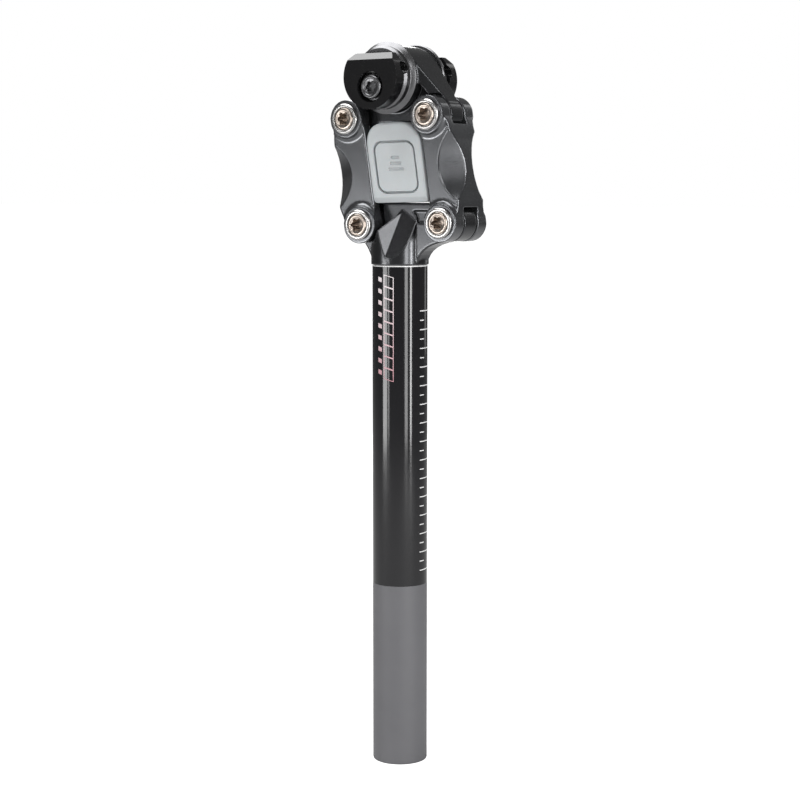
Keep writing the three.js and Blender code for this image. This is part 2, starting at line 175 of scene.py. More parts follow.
def turn(bm, profile, at=(0, 0), segments=96):
    """Spins a closed outline of (radius, y) points about the line along Y through at."""
    x, z = at
    verts = [bm.verts.new((x + radius, y, z)) for radius, y in profile]
    edges = [bm.edges.new((verts[i - 1], verts[i])) for i in range(len(verts))]
    bmesh.ops.spin(
        bm,
        geom=verts + edges,
        cent=(x, 0, z),
        axis=(0, 1, 0),
        angle=2 * math.pi,
        steps=segments,
        use_merge=True,
    )
    tidy(bm)


def tidy(bm):
    """Closes the poles of a turned shape, and faces it outwards."""
    bmesh.ops.remove_doubles(bm, verts=bm.verts, dist=1e-3)
    bmesh.ops.dissolve_degenerate(bm, dist=1e-5, edges=bm.edges)
    bmesh.ops.recalc_face_normals(bm, faces=bm.faces)


def solid(name, bm, matrix=None):
    """Makes an object in metres from a bmesh drawn in millimetres."""
    if matrix is not None:
        bmesh.ops.transform(bm, matrix=matrix, verts=bm.verts)
        tidy(bm)
    bmesh.ops.scale(bm, vec=(MM, MM, MM), verts=bm.verts)
    mesh = bpy.data.meshes.new(name)
    bm.to_mesh(mesh)
    bm.free()
    obj = bpy.data.objects.new(name, mesh)
    scene.collection.objects.link(obj)
    return obj


def settle(obj):
    """Applies an object's modifiers."""
    bpy.context.view_layer.update()
    graph = bpy.context.evaluated_depsgraph_get()
    mesh = bpy.data.meshes.new_from_object(obj.evaluated_get(graph))
    obj.modifiers.clear()
    obj.data = mesh


def break_edges(obj, width, segments=3, angle=30):
    """Rounds the sharp edges of a machined piece by a few tenths of a millimetre."""
    bevel = obj.modifiers.new("edges", "BEVEL")
    bevel.width = width * MM
    bevel.segments = segments
    bevel.limit_method = "ANGLE"
    bevel.angle_limit = math.radians(angle)
    bevel.use_clamp_overlap = True
    settle(obj)


def place(obj, body, material, slot, *nodes, sharp=40):
    """Shades a finished piece, and sets it on its body in place of its plain stand-ins."""
    obj.data.materials.clear()
    obj.data.materials.append(material)
    for face in obj.data.polygons:
        face.use_smooth = True
        face.material_index = 0
    obj.data.set_sharp_from_angle(angle=math.radians(sharp))
    if sharp < 60:
        weighted = obj.modifiers.new("flat_faces", "WEIGHTED_NORMAL")
        weighted.keep_sharp = True
        settle(obj)
    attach(obj, body)
    if nodes:
        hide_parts(*nodes)
    return obj


def principled(name, **values):
    """A new material, with constants set on its shader by the names of its sockets."""
    material = bpy.data.materials.new(name)
    material.use_nodes = True
    shader = material.node_tree.nodes["Principled BSDF"]
    for socket, value in values.items():
        label = socket.replace("_", " ").title().replace("Ior", "IOR")
        shader.inputs[label].default_value = value
    return material, material.node_tree, shader


def math_node(tree, operation, *values):
    node = tree.nodes.new("ShaderNodeMath")
    node.operation = operation
    for socket, value in zip(node.inputs, values):
        if isinstance(value, (int, float)):
            socket.default_value = value
        else:
            tree.links.new(value, socket)
    return node.outputs[0]


def noise(tree, vector, scale, detail=2.0, roughness=0.5):
    node = tree.nodes.new("ShaderNodeTexNoise")
    node.inputs["Scale"].default_value = scale
    node.inputs["Detail"].default_value = detail
    node.inputs["Roughness"].default_value = roughness
    tree.links.new(vector, node.inputs["Vector"])
    return node.outputs["Fac"]


def mixed(tree, factor, low, high):
    """A colour between two others."""
    node = tree.nodes.new("ShaderNodeMix")
    node.data_type = "RGBA"
    tree.links.new(factor, node.inputs["Factor"])
    for label, value in (("A", low), ("B", high)):
        socket = [s for s in node.inputs if s.name == label and s.type == "RGBA"][0]
        if isinstance(value, tuple):
            socket.default_value = value
        else:
            tree.links.new(value, socket)
    return [s for s in node.outputs if s.type == "RGBA"][0]


def new_group(name, inputs, outputs):
    """A shader node group, with its sockets as (name, type, default) and (name, type)."""
    tree = bpy.data.node_groups.new(name, "ShaderNodeTree")
    for label, kind, default in inputs:
        socket = tree.interface.new_socket(name=label, in_out="INPUT", socket_type=kind)
        if default is not None:
            socket.default_value = default
    for label, kind in outputs:
        tree.interface.new_socket(name=label, in_out="OUTPUT", socket_type=kind)
    return tree, tree.nodes.new("NodeGroupInput").outputs, tree.nodes.new("NodeGroupOutput").inputs


def placed_group(tree, group, **values):
    node = tree.nodes.new("ShaderNodeGroup")
    node.node_tree = group
    for label, value in values.items():
        socket = node.inputs[label.replace("_", " ")]
        if isinstance(value, (int, float, tuple)):
            socket.default_value = value
        else:
            tree.links.new(value, socket)
    return node.outputs


def bump(tree, height, strength, distance):
    node = tree.nodes.new("ShaderNodeBump")
    node.inputs["Strength"].default_value = strength
    node.inputs["Distance"].default_value = distance
    tree.links.new(height, node.inputs["Height"])
    return node.outputs["Normal"]


def dress(tree, shader, colour, roughness, normal):
    """Links a colour, a roughness and a bump to a material's shader."""
    for label, value in (("Base Color", colour), ("Roughness", roughness), ("Normal", normal)):
        tree.links.new(value, shader.inputs[label])


def make_handled_group():
    """Handling: faint cloudy smears and fine rubbed scratches that change the roughness."""
    tree, given, out = new_group(
        "handled_surface",
        [
            ("Vector", "NodeSocketVector", None),
            ("Roughness", "NodeSocketFloat", 0.2),
            ("Smear", "NodeSocketFloat", 0.05),
            ("Scratch", "NodeSocketFloat", 0.05),
        ],
        [("Roughness", "NodeSocketFloat"), ("Height", "NodeSocketFloat")],
    )
    cloud = noise(tree, given["Vector"], 90, 4, 0.6)
    stretch = tree.nodes.new("ShaderNodeMapping")
    stretch.inputs["Rotation"].default_value = (0.3, 0.5, 0.2)
    stretch.inputs["Scale"].default_value = (1, 1, 0.06)
    tree.links.new(given["Vector"], stretch.inputs["Vector"])
    hair = noise(tree, stretch.outputs[0], 2600, 2, 0.6)
    fine = math_node(tree, "POWER", hair, 6.0)
    centred = math_node(tree, "SUBTRACT", cloud, 0.5)
    smear = math_node(tree, "MULTIPLY", centred, given["Smear"])
    scratch = math_node(tree, "MULTIPLY", fine, given["Scratch"])
    total = math_node(tree, "ADD", math_node(tree, "ADD", given["Roughness"], smear), scratch)
    tree.links.new(math_node(tree, "MAXIMUM", total, 0.02), out["Roughness"])
    grain = noise(tree, given["Vector"], 900, 3, 0.55)
    tree.links.new(math_node(tree, "ADD", grain, scratch), out["Height"])
    return tree


HANDLED = make_handled_group()


def object_coordinates(tree):
    return tree.nodes.new("ShaderNodeTexCoord").outputs["Object"]


MARK_PITCH = 5.23 * MM
MARK_LOW = 111.5 * MM
MARK_COUNT = 29
BADGE_LOW, BADGE_HIGH = 219.5 * MM, 277.5 * MM
BADGE_CELLS = 9
BADGE_AT, BADGE_SPREAD, BADGE_SLANT = -80.5, 11.2, 0.13
BADGE_BAR_HALF = 3.9 * MM
DASH_FROM, DASH_TO = -107, -97
MARK_FROM, SHORT_MARK_TO, LONG_MARK_TO = -10, 4, 27
MARK_HALF_WIDTH = 0.052


def make_marks_group():
    """Etched print on the post: the scale of long and short marks at the rear, and a plain badge of
    hollow slanted bars with a row of dashes beside it on the left. Angles are from the rear."""
    tree, given, out = new_group(
        "post_print",
        [("Vector", "NodeSocketVector", None)],
        [("Scale", "NodeSocketFloat"), ("Badge", "NodeSocketFloat"), ("Fade", "NodeSocketFloat")],
    )
    split = tree.nodes.new("ShaderNodeSeparateXYZ")
    tree.links.new(given["Vector"], split.inputs[0])
    x, y, z = split.outputs
    angle = math_node(tree, "ARCTAN2", y, x)

    def between(value, low, high):
        above = math_node(tree, "GREATER_THAN", value, low)
        return math_node(tree, "MULTIPLY", above, math_node(tree, "LESS_THAN", value, high))

    def both(a, b):
        return math_node(tree, "MULTIPLY", a, b)

    step = math_node(tree, "DIVIDE", math_node(tree, "SUBTRACT", z, MARK_LOW), MARK_PITCH)
    nearest = math_node(tree, "ROUND", step)
    near = math_node(tree, "ABSOLUTE", math_node(tree, "SUBTRACT", step, nearest))
    line = math_node(tree, "LESS_THAN", near, MARK_HALF_WIDTH)
    line = both(line, between(step, -0.5, MARK_COUNT - 0.5))
    odd = math_node(tree, "GREATER_THAN", math_node(tree, "MODULO", nearest, 2), 0.5)
    long_mark = between(angle, math.radians(MARK_FROM), math.radians(LONG_MARK_TO))
    short_mark = between(angle, math.radians(MARK_FROM), math.radians(SHORT_MARK_TO))
    even = math_node(tree, "SUBTRACT", 1.0, odd)
    reach = math_node(tree, "MINIMUM", long_mark, math_node(tree, "MAXIMUM", short_mark, even))
    tree.links.new(both(line, reach), out["Scale"])

    cell = (BADGE_HIGH - BADGE_LOW) / BADGE_CELLS
    from_badge = math_node(tree, "SUBTRACT", angle, math.radians(BADGE_AT))
    across = math_node(tree, "DIVIDE", from_badge, math.radians(BADGE_SPREAD))
    lean = math_node(tree, "MULTIPLY", across, BADGE_SLANT)
    rise = math_node(tree, "DIVIDE", math_node(tree, "SUBTRACT", z, BADGE_LOW), cell)
    slanted = math_node(tree, "ADD", rise, lean)
    inside = math_node(tree, "FRACT", slanted)
    from_middle = math_node(tree, "ABSOLUTE", math_node(tree, "SUBTRACT", inside, 0.5))
    off = math_node(tree, "MULTIPLY", from_middle, cell / BADGE_BAR_HALF)
    tall = math_node(tree, "MULTIPLY", off, 1.18)
    far = math_node(tree, "MAXIMUM", tall, math_node(tree, "ABSOLUTE", across))
    rim = between(far, 0.86, 1.0)
    rows = between(slanted, 0.0, float(BADGE_CELLS))
    dash_side = between(angle, math.radians(DASH_FROM), math.radians(DASH_TO))
    dash = between(inside, 0.25, 0.62)
    printed = math_node(tree, "MAXIMUM", rim, both(dash_side, dash))
    tree.links.new(both(printed, rows), out["Badge"])
    tree.links.new(math_node(tree, "DIVIDE", rise, BADGE_CELLS), out["Fade"])
    return tree


def post_material():
    material, tree, shader = principled("anodised_post", specular_ior_level=0.5, coat_weight=0.0)
    place_in = object_coordinates(tree)
    split = tree.nodes.new("ShaderNodeSeparateXYZ")
    tree.links.new(place_in, split.inputs[0])
    height = split.outputs["Z"]
    satin = math_node(tree, "LESS_THAN", height, SATIN_TOP * MM)
    print_mask = placed_group(tree, make_marks_group(), Vector=place_in)
    gloss = placed_group(tree, HANDLED, Vector=place_in, Roughness=0.1, Smear=0.05, Scratch=0.08)
    rough = placed_group(tree, HANDLED, Vector=place_in, Roughness=0.5, Smear=0.08, Scratch=0.1)
    marks = math_node(tree, "MAXIMUM", print_mask["Scale"], print_mask["Badge"])

    def chosen(factor, low, high):
        mix = tree.nodes.new("ShaderNodeMix")
        tree.links.new(factor, mix.inputs["Factor"])
        for socket, value in ((mix.inputs["A"], low), (mix.inputs["B"], high)):
            if isinstance(value, float):
                socket.default_value = value
            else:
                tree.links.new(value, socket)
        return mix.outputs["Result"]

    blend = chosen(satin, gloss["Roughness"], rough["Roughness"])
    tree.links.new(chosen(marks, blend, 0.55), shader.inputs["Roughness"])
    cloud = noise(tree, place_in, 40, 3, 0.5)
    dark = mixed(tree, cloud, (0.0075, 0.0075, 0.0085, 1), (0.0115, 0.011, 0.0125, 1))
    grey = mixed(tree, cloud, (0.11, 0.11, 0.117, 1), (0.135, 0.134, 0.142, 1))
    body = mixed(tree, satin, dark, grey)
    badge = mixed(tree, print_mask["Fade"], (0.5, 0.26, 0.29, 1), (0.74, 0.68, 0.69, 1))
    lettered = mixed(tree, print_mask["Badge"], body, badge)
    lip = math_node(tree, "GREATER_THAN", height, post_high.z * MM - 0.0005)
    white = math_node(tree, "MAXIMUM", print_mask["Scale"], lip)
    tree.links.new(mixed(tree, white, lettered, (0.75, 0.75, 0.75, 1)), shader.inputs["Base Color"])
    draw = math_node(tree, "ADD", gloss["Height"], math_node(tree, "MULTIPLY", marks, -0.4))
    tree.links.new(bump(tree, draw, 0.04, 0.00005), shader.inputs["Normal"])
    return material


def make_post_tube():
    bore = POST_BORE_R
    low, high = post_low.z, post_high.z + LIP_PROUD
    outline = [
        (bore + 0.7, low),
        (POST_R - 0.9, low),
        (POST_R - 0.25, low + 0.35),
        (POST_R, low + 1.0),
        (POST_R, SATIN_TOP - 0.12),
        (POST_R - 0.05, SATIN_TOP),
        (POST_R, SATIN_TOP + 0.12),
        (POST_R, high - 0.35),
        (POST_R - 0.35, high),
        (bore, high),
        (bore, low + 0.7),
    ]
    bm = bmesh.new()
    turn(bm, outline, segments=160)
    tube = solid("post_tube_piece", bm, UPRIGHT)
    place(tube, "post", post_material(), "anodised_tube", "post_tube", sharp=50)


make_post_tube()

# ---- Lower head ----
# A forged aluminium head, bonded into the post by a spigot, polished and anodised black. A gabled
# shoulder on each side of a central web carries the lugs for the two lower pivots.
LUG_HALF = 5.9
LUG_R = 10.2
BUSH_SEAT_R = 7.9
COLLAR_R = 16.1
WEB_TOP = 317.7
SPIGOT_R, SPIGOT_BORE_R, SPIGOT_LENGTH = 12.5, 9, 32
GABLE_TOP = (5.9, 313.4)
joint_at = {
    j["name"]: (j["pos_m"][0] / MM, j["pos_m"][2] / MM)
    for j in frame["record"]["behaviour"]["joints"]
    if "pos_m" in j
}
FRONT_FOOT = joint_at["front_link_swing"]
REAR_FOOT = joint_at["rear_link_swing"]
FRONT_TOP = joint_at["head_level"]
LINK = (FRONT_TOP[0] - FRONT_FOOT[0], FRONT_TOP[1] - FRONT_FOOT[1])
REAR_TOP = (REAR_FOOT[0] + LINK[0], REAR_FOOT[1] + LINK[1])
CLAMP = joint_at["saddle_tilt"]
HEAD_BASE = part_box("lower_head")[0].z / MM + SPIGOT_LENGTH


def arc(at, radius, start, end, steps=10):
    """Points on an arc, by angles in degrees from +X towards +Z."""
    turns = [math.radians(start + (end - start) * i / steps) for i in range(steps + 1)]
    return [(at[0] + radius * math.cos(t), at[1] + radius * math.sin(t)) for t in turns]


def curve(start, pull, end, steps=8):
    """Points on a curve that leaves start towards pull and comes into end from it."""
    points = []
    for i in range(steps + 1):
        t = i / steps
        pairs = list(zip(((1 - t) ** 2, 2 * t * (1 - t), t * t), (start, pull, end)))
        points.append(tuple(sum(weight * p[k] for weight, p in pairs) for k in (0, 1)))
    return points


def slab(bm, outline, y0, y1, round_by=0.0):
    """A plate with an outline in X and Z and a depth along Y, its rims rounded."""
    verts = [bm.verts.new((x, y0, z)) for x, z in outline]
    bottom = bm.faces.new(verts)
    grown = bmesh.ops.extrude_face_region(bm, geom=[bottom])["geom"]
    top = [v for v in grown if isinstance(v, bmesh.types.BMVert)]
    bmesh.ops.translate(bm, vec=(0, y1 - y0, 0), verts=top)
    tidy(bm)
    if round_by:
        rims = [e for e in bm.edges if abs(e.verts[0].co.y - e.verts[1].co.y) < 1e-6]
        rims = [e for e in rims if any(abs(f.normal.y) > 0.9 for f in e.link_faces)]
        bmesh.ops.bevel(
            bm,
            geom=rims,
            offset=round_by,
            offset_type="OFFSET",
            affect="EDGES",
            segments=4,
            profile=0.5,
            material=-1,
            clamp_overlap=True,
        )


def plate(name, outline, y0, y1, round_by=0.0):
    bm = bmesh.new()
    slab(bm, outline, y0, y1, round_by)
    return solid(name, bm)


def pin(name, at, radius, y0, y1, segments=96):
    bm = bmesh.new()
    turn(bm, [(0, y0), (radius, y0), (radius, y1), (0, y1)], at, segments)
    return solid(name, bm)


def combine(base, other, operation):
    """Joins to a solid, or cuts from it, another solid that is then used up."""
    cut = base.modifiers.new("combine", "BOOLEAN")
    cut.operation = operation
    cut.solver = "MANIFOLD"
    cut.object = other
    settle(base)
    bpy.data.objects.remove(other)


def forge(base, joins, cuts, voxel=0.42, rounds=3):
    """A forging: solids joined and cut, then skinned finely so that every edge comes out soft."""
    for other in joins:
        combine(base, other, "UNION")
    for other in cuts:
        combine(base, other, "DIFFERENCE")
    skin = base.modifiers.new("skin", "REMESH")
    skin.mode = "VOXEL"
    skin.voxel_size = voxel * MM
    relax = base.modifiers.new("relax", "SMOOTH")
    relax.factor = 0.5
    relax.iterations = rounds
    settle(base)


def forged_material(name, dark, light):
    """Polished black anodising over bright metal: smoky, with soft reflections."""
    material, tree, shader = principled(
        name, metallic=0.9, coat_weight=0.3, coat_roughness=0.08, ior=1.55
    )
    place_in = object_coordinates(tree)
    skin = placed_group(tree, HANDLED, Vector=place_in, Roughness=0.24, Smear=0.1, Scratch=0.1)
    cloud = noise(tree, place_in, 60, 4, 0.6)
    grain = bump(tree, skin["Height"], 0.05, 0.00005)
    dress(tree, shader, mixed(tree, cloud, dark, light), skin["Roughness"], grain)
    return material


FORGED_HEAD = forged_material("forged_head", (0.04, 0.041, 0.044, 1), (0.075, 0.077, 0.081, 1))
FORGED_LINK = forged_material("forged_link", (0.09, 0.093, 0.099, 1), (0.15, 0.153, 0.16, 1))


def slant_cut(name, point, normal, reach=40):
    """A block whose face passes through a point and which fills the side its normal points to."""
    bm = bmesh.new()
    bmesh.ops.create_cube(bm, size=2 * reach)
    bmesh.ops.translate(bm, vec=(0, 0, reach), verts=bm.verts)
    turn_to = Vector(normal).to_track_quat("Z", "Y").to_matrix().to_4x4()
    return solid(name, bm, Matrix.Translation(Vector(point)) @ turn_to)


def post_pin(name, radius, low, high):
    """A cylinder on the post's own axis."""
    core = pin(name, (0, 0), radius, low, high)
    core.data.transform(UPRIGHT)
    return core


def lug_cuts(at, room_r):
    """What is cut from a lug: the bushes' bore, and the room for a link's arm on each side."""
    return [
        pin("bore", at, BUSH_SEAT_R, -30, 30),
        pin("room", at, room_r, LUG_HALF, 30),
        pin("room", at, room_r, -30, -LUG_HALF),
    ]


def make_lower_head():
    base = HEAD_BASE
    neck_top = 320
    neck_line = [
        (0, base),
        (COLLAR_R - 0.3, base),
        (COLLAR_R, base + 0.3),
        (COLLAR_R, neck_top),
        (0, neck_top),
    ]
    bm = bmesh.new()
    turn(bm, neck_line, segments=128)
    neck = solid("lower_head_piece", bm, UPRIGHT)
    roof = [(-24, base - 2), (24, base - 2), (24, 301.5), GABLE_TOP, (-24, 283.4)]
    combine(neck, plate("roof", roof, -20, 20), "INTERSECT")
    for side in (-1, 1):
        top = (GABLE_TOP[0], side * 6.0, GABLE_TOP[1])
        facet = slant_cut("facet", top, (0.497, side * 0.837, 0.23))
        combine(facet, slant_cut("front", top, (0.211, side * 0.92, 0.318)), "INTERSECT")
        combine(neck, facet, "DIFFERENCE")
    foot = [
        *curve((-14.9, base), (-15.6, 291), (-24.0, 299.2)),
        (FRONT_FOOT[0], FRONT_FOOT[1] + LUG_R - 1),
        (-7.9, FRONT_FOOT[1] + 3),
        (-7.5, WEB_TOP),
        (REAR_FOOT[0], WEB_TOP),
        (REAR_FOOT[0] + LUG_R - 0.4, REAR_FOOT[1]),
        *curve((REAR_FOOT[0] + 2, REAR_FOOT[1] - LUG_R + 0.1), (17, 296), (14.9, base)),
    ]
    web = plate("web", foot, -LUG_HALF, LUG_HALF, 0.7)
    flare_line = [
        *curve((-14.6, base + 3), (-15.6, 291), (-23.0, 297.5)),
        (-8, 299),
        (4, 298),
        (24, 301),
        *curve((34, 297.2), (17.5, 296), (14.6, base + 3)),
    ]
    flare = plate("flare", flare_line, -15.9, 15.9)
    for side in (-1, 1):
        for x, slope in ((15.0, 0.5), (-15.0, -0.55)):
            cutter = slant_cut("flare_side", (x, side * 5.6, 290), (slope, side * 1.0, 0.0))
            combine(flare, cutter, "DIFFERENCE")
    lugs = [
        pin("front_lug", FRONT_FOOT, LUG_R, -LUG_HALF, LUG_HALF),
        pin("rear_lug", REAR_FOOT, LUG_R, -LUG_HALF, LUG_HALF),
    ]
    spigot = post_pin("spigot", SPIGOT_R, base - SPIGOT_LENGTH + 0.1, base + 2)
    cuts = []
    for side in (-1, 1):
        near, far = sorted((side * 4.4, side * 16))
        notch = [(12.5, 313.4), (22.5, 313.4), (22.5, 306.6), (15.6, 306.6), (14.6, 310.8)]
        cuts.append(plate("notch", notch, near, far))
    cuts.append(post_pin("hollow", SPIGOT_BORE_R, base - SPIGOT_LENGTH - 2, base - 4))
    for at in (FRONT_FOOT, REAR_FOOT):
        cuts += lug_cuts(at, 11.7)
    forge(neck, [flare, web, *lugs, spigot], cuts, voxel=0.4)
    place(neck, "post", FORGED_HEAD, "forged_black", "lower_head", sharp=70)


make_lower_head()

# ---- Links ----
# Two forged links, each with two arms and a keel between them. Both outer corners of a keel are
# scooped away, so that the link is waisted from the side and from the end. Bosses stand proud of
# the arms at the pivots. A link is drawn upright, s up from its lower pivot and n outwards.
LINK_LENGTH = math.hypot(*LINK)
LINK_LEAN = math.atan2(LINK[0], LINK[1])
ARM_IN, ARM_OUT, BOSS_OUT = 7.2, 13.2, 16.0
BOSS_R = 10.4
KEEL_BACK = 14.9
SCOOP_R = 32.0
AXLE_BORE_R = 6.5
ALONG_X = Matrix.Rotation(math.radians(90), 4, "Y")


def scoop(side, waist, spine):
    """A large cylinder across an outer corner, which leaves the side face as far as waist, and half
    of the spine's width, at the link's middle."""
    along = Vector((KEEL_BACK - waist, spine - ARM_OUT))
    normal = Vector((-along.y, along.x)).normalized()
    centre = Vector((waist, ARM_OUT)) + normal * SCOOP_R
    bm = bmesh.new()
    bmesh.ops.create_cone(
        bm, cap_ends=True, segments=160, radius1=SCOOP_R, radius2=SCOOP_R, depth=90
    )
    swing = Matrix.Rotation(math.atan2(along.y, along.x), 4, "Z")
    shift = Matrix.Translation((centre.x, centre.y, LINK_LENGTH / 2))
    flip = Matrix.Scale(side, 4, (0, 1, 0))
    return solid("scoop", bm, flip @ shift @ swing @ ALONG_X)


def link_outline(inner, back):
    """The link from the side: round ends, a straight inner edge, a slightly bulged back."""
    r, top = BOSS_R, LINK_LENGTH
    low_back, mid_back, top_back = back
    return [
        *arc((0, 0), r, 180, 330, 14),
        *curve((r - 0.2, 2), (low_back - 0.5, 8), (low_back, 15), 6),
        *curve((low_back, 15), (mid_back + 0.4, top / 2), (top_back, top - 15), 8)[1:],
        *curve((top_back, top - 15), (top_back, top - 8), (r - 0.2, top - 2), 6)[1:],
        *arc((0, top), r, 20, 180, 14),
        *curve((-inner - 0.2, top - 6), (-inner, top - 9), (-inner, top - 14), 4),
        *curve((-inner, 14), (-inner, 9), (-inner - 0.2, 6), 4),
    ]


def boss_fillet(name, outline, at, side):
    """The hollow fillet where a boss rises from an arm's side face."""
    reach = BOSS_OUT - ARM_OUT
    profile = [(BOSS_R - 2, ARM_OUT - 1), (BOSS_R + reach, ARM_OUT - 1)]
    centre = (BOSS_R + reach, BOSS_OUT)
    profile += [(r, y) for r, y in arc(centre, reach, 270, 180, 8)]
    profile += [(BOSS_R - 2, BOSS_OUT)]
    bm = bmesh.new()
    turn(bm, [(r, side * y) for r, y in profile], at, 96)
    ring = solid(name, bm)
    low, high = sorted((side * 8, side * 17))
    combine(ring, plate("limit", outline, low, high), "INTERSECT")
    return ring


def make_link(name, foot, out, inner, back, waist, spine):
    """A link on its own body, facing out along X, by its edges inside and at the back."""
    outline = link_outline(inner, back)
    base = plate(f"{name}_piece", outline, -ARM_OUT, ARM_OUT, 1.1)
    ends = [(0, 0), (0, LINK_LENGTH)]
    combine(base, scoop(1, waist, spine), "DIFFERENCE")
    combine(base, scoop(-1, waist, spine), "DIFFERENCE")
    joins = []
    for at in ends:
        for side in (-1, 1):
            low, high = sorted((side * ARM_IN, side * BOSS_OUT))
            joins.append(pin("boss", at, BOSS_R, low, high))
            joins.append(boss_fillet("fillet", outline, at, side))
    open_to, past = -inner - 9, LINK_LENGTH + 20
    channel = [(open_to, -20), (0.5, -20), (0.5, past), (open_to, past)]
    cuts = [plate("channel", channel, -ARM_IN, ARM_IN)]
    for at in ends:
        cuts.append(pin("room", at, 13.0, -ARM_IN, ARM_IN))
        cuts.append(pin("bore", at, AXLE_BORE_R, -20, 20))
    forge(base, joins, cuts, voxel=0.42)
    turned_out = Matrix.Identity(4) if out > 0 else Matrix.Rotation(math.pi, 4, "Z")
    lean = Matrix.Rotation(LINK_LEAN, 4, "Y")
    stand = Matrix.Translation(Vector((foot[0], 0, foot[1])) * MM)
    base.data.transform(stand @ lean @ turned_out)
    place(base, name, FORGED_LINK, "forged_black", name, sharp=70)


make_link("front_link", FRONT_FOOT, -1, 9.6, (14.4, 14.2, 12.3), 2.6, 6.0)
make_link("rear_link", REAR_FOOT, 1, 7.0, (12.4, 14.4, 12.2), 1.8, 2.4)

# ---- Pivot hardware ----
# Each pivot turns on a ground steel axle, held in both arms by a silver turned cap and a nickel
# plated screw at each end. Flanged polymer bushes line the lug between the arms.
CAP_R, CAP_OUT = 8.4, 18.0
SCREW_HEAD_R = 6.0
SOCKET_R = 4.0
SHANK_R = 4.3
BUSH_BORE_R, BUSH_R, BUSH_FLANGE_R = 6.5, 7.6, 9.4
AXLE_R, AXLE_HOLE_R, AXLE_HALF = 6.2, 4.6, 15.2


def make_turned_group():
    """The fine rings a lathe tool leaves on a face, about a line along Y."""
    tree, given, out = new_group(
        "turned_rings",
        [
            ("Vector", "NodeSocketVector", None),
            ("Centre", "NodeSocketVector", None),
            ("Rings", "NodeSocketFloat", 5000.0),
        ],
        [("Height", "NodeSocketFloat"), ("Tone", "NodeSocketFloat")],
    )
    offset = tree.nodes.new("ShaderNodeVectorMath")
    offset.operation = "SUBTRACT"
    tree.links.new(given["Vector"], offset.inputs[0])
    tree.links.new(given["Centre"], offset.inputs[1])
    split = tree.nodes.new("ShaderNodeSeparateXYZ")
    tree.links.new(offset.outputs[0], split.inputs[0])
    x, _, z = split.outputs
    x_squared, z_squared = (math_node(tree, "MULTIPLY", v, v) for v in (x, z))
    squares = math_node(tree, "ADD", x_squared, z_squared)
    radius = math_node(tree, "SQRT", squares)
    line = tree.nodes.new("ShaderNodeCombineXYZ")
    tree.links.new(math_node(tree, "MULTIPLY", radius, given["Rings"]), line.inputs["X"])
    tree.links.new(noise(tree, line.outputs[0], 1.0, 3, 0.7), out["Height"])
    angle = math_node(tree, "ARCTAN2", z, x)
    spoke = tree.nodes.new("ShaderNodeCombineXYZ")
    tree.links.new(math_node(tree, "MULTIPLY", angle, 1.2), spoke.inputs["X"])
    tree.links.new(noise(tree, spoke.outputs[0], 2.0, 2, 0.5), out["Tone"])
    return tree


TURNED = make_turned_group()


def machined_material(name, at, dark, light, roughness):
    """Turned bright metal, with its tool rings centred on its own axis."""
    material, tree, shader = principled(name, metallic=1.0)
    place_in = object_coordinates(tree)
    rings = placed_group(tree, TURNED, Vector=place_in, Centre=(at[0] * MM, 0.0, at[1] * MM))
    skin = placed_group(tree, HANDLED, Vector=place_in, Roughness=roughness, Smear=0.12, Scratch=0.1)
    lines = bump(tree, rings["Height"], 0.12, 0.00004)
    dress(tree, shader, mixed(tree, rings["Tone"], dark, light), skin["Roughness"], lines)
    return material


def bush_material():
    material, tree, shader = principled("bush_polymer", specular_ior_level=0.4)
    place_in = object_coordinates(tree)
    skin = placed_group(tree, HANDLED, Vector=place_in, Roughness=0.55, Smear=0.1, Scratch=0.1)
    fleck = noise(tree, place_in, 1500, 2, 0.6)
    shade = mixed(tree, fleck, (0.02, 0.024, 0.022, 1), (0.05, 0.055, 0.05, 1))
    dress(tree, shader, shade, skin["Roughness"], bump(tree, skin["Height"], 0.1, 0.0002))
    return material


BUSH = bush_material()


def lobed(at, radius, y0, y1):
    """A six-lobed key's shape, as a cutter for a socket."""
    points, steps = [], 72
    for i in range(steps):
        a = 2 * math.pi * i / steps
        swell = 0.5 + 0.5 * math.cos(6 * a)
        r = radius * (0.73 + 0.27 * swell ** 0.8)
        points.append((at[0] + r * math.cos(a), at[1] + r * math.sin(a)))
    return plate("socket", points, *sorted((y0, y1)))


def make_cap(name, body, at, side, material):
    inner = BOSS_OUT + 0.15
    outline = [
        (4.7, inner),
        (CAP_R, inner),
        (CAP_R, CAP_OUT - 0.75),
        (CAP_R - 0.25, CAP_OUT - 0.45),
        (CAP_R - 0.8, CAP_OUT),
        (SCREW_HEAD_R + 0.65, CAP_OUT),
        (SCREW_HEAD_R + 0.3, CAP_OUT - 0.35),
        (SCREW_HEAD_R + 0.3, inner + 0.75),
        (4.7, inner + 0.75),
    ]
    bm = bmesh.new()
    turn(bm, [(r, side * y) for r, y in outline], at, 96)
    cap = solid(f"{name}_piece", bm)
    break_edges(cap, 0.12, 2)
    place(cap, body, material, "silver_cap", name)


def make_screw(name, body, at, side, material):
    under, top, tip = BOSS_OUT + 1.1, CAP_OUT + 0.4, 8
    outline = [
        (0, tip),
        (SHANK_R, tip),
        (SHANK_R, under),
        (SCREW_HEAD_R, under),
        (SCREW_HEAD_R, top - 0.5),
        (SCREW_HEAD_R - 0.3, top - 0.12),
        (SCREW_HEAD_R - 0.9, top),
        (4.5, top),
        (4.05, top - 0.25),
        (0, top - 0.25),
    ]
    bm = bmesh.new()
    turn(bm, [(r, side * y) for r, y in outline], at, 96)
    screw = solid(f"{name}_piece", bm)
    combine(screw, lobed(at, SOCKET_R, side * (top - 5.5), side * (top + 1)), "DIFFERENCE")
    break_edges(screw, 0.1, 2)
    place(screw, body, material, "nickel_screw", name)


